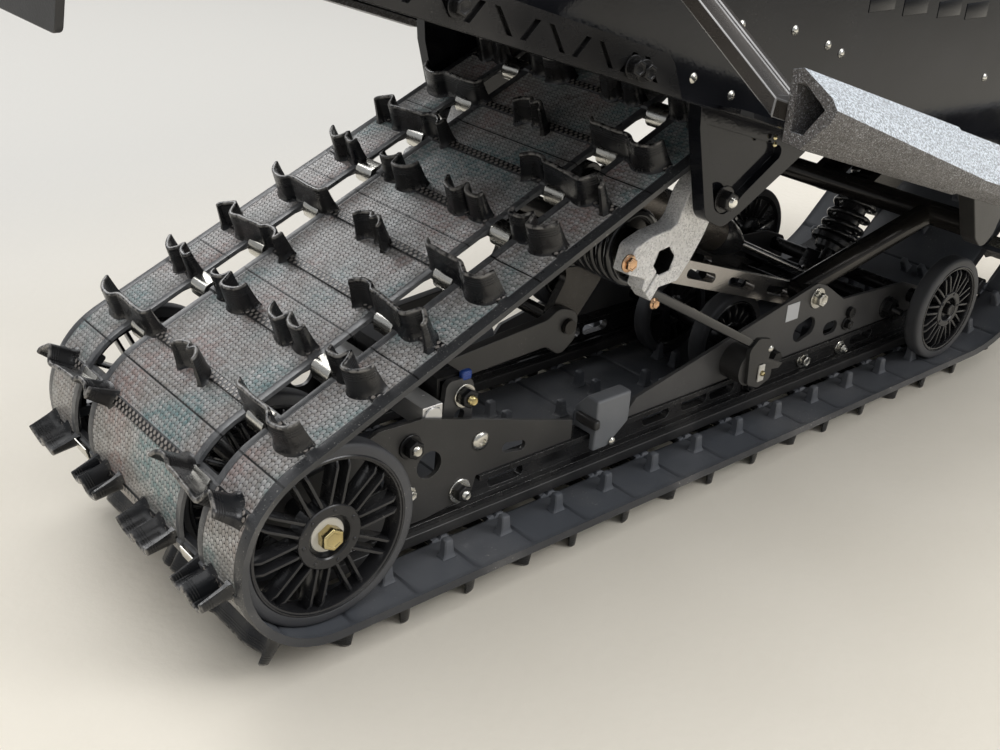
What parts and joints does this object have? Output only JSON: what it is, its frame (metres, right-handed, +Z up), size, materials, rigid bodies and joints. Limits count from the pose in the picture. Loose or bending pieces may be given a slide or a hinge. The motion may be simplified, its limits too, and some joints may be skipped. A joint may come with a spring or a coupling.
{
  "type": "snowmobile rear chassis with track and suspension",
  "caption": "Rear chassis of a snowmobile: folded tunnel with running boards over a lugged endless track on a slide-rail suspension with idler wheels, dampers and torsion springs.",
  "frame": {"origin": "centre of the overall box, on the floor plane that the lug tips touch", "axes": "+X forward towards the drive shaft, +Y to the left side, +Z up"},
  "size_m": [1.7648, 0.868, 0.7337],
  "materials": {
    "track_rubber": "moulded rubber",
    "wheel_black": "gloss black moulded wheel with rubber tyre",
    "gloss_black": "gloss black powder coat",
    "dark_plate": "satin black coat",
    "rail_black": "black anodised extrusion",
    "runner_plastic": "black slider plastic",
    "cast_alloy": "as-cast",
    "bright_alloy": "mill finish",
    "zinc_steel": "zinc plated",
    "spring_black": "gloss black coat",
    "damper_bronze": "dark bronze anodised",
    "block_grey": "grey moulded",
    "grip_grey": "grit coated",
    "flap_black": "moulded flap"
  },
  "bodies": {
    "root": {"track": "track_rubber", "rear_wheels": "wheel_black", "rear_wheels_inner": "wheel_black", "front_wheels": "wheel_black", "bogie_wheels": "wheel_black", "carrier_wheels": "wheel_black", "arm_wheels": "wheel_black", "rear_axle": "zinc_steel", "front_axle": "zinc_steel", "bogie_axle": "zinc_steel", "carrier_axle": "zinc_steel", "cross_shaft": "zinc_steel", "slide_rails": "rail_black", "slide_runners": "runner_plastic", "rear_plates": "dark_plate", "front_plates": "dark_plate", "bright_cross_bar": "bright_alloy", "black_cross_bar": "gloss_black", "post_brackets": "gloss_black", "idler_arms": "cast_alloy", "rear_arm": "gloss_black", "rear_shackles": "dark_plate", "torsion_springs": "spring_black", "spring_cams": "dark_plate", "spring_blocks": "block_grey", "slotted_links": "bright_alloy", "link_pin": "zinc_steel", "link_studs": "zinc_steel", "rear_shock": "damper_bronze", "front_arm": "gloss_black", "front_hangers": "gloss_black", "front_shock": "damper_bronze", "front_spring": "spring_black", "drive_shaft": "zinc_steel", "tunnel": "gloss_black", "truss_rails": "dark_plate", "drop_brackets": "gloss_black", "bracket_bolts": "zinc_steel", "running_boards": "dark_plate", "board_tube_covers": "grip_grey", "board_tubes": "grip_grey", "braces": "damper_bronze", "cooler": "bright_alloy", "rear_bumper": "gloss_black", "snow_flap": "flap_black"}
  },
  "joints": []
}
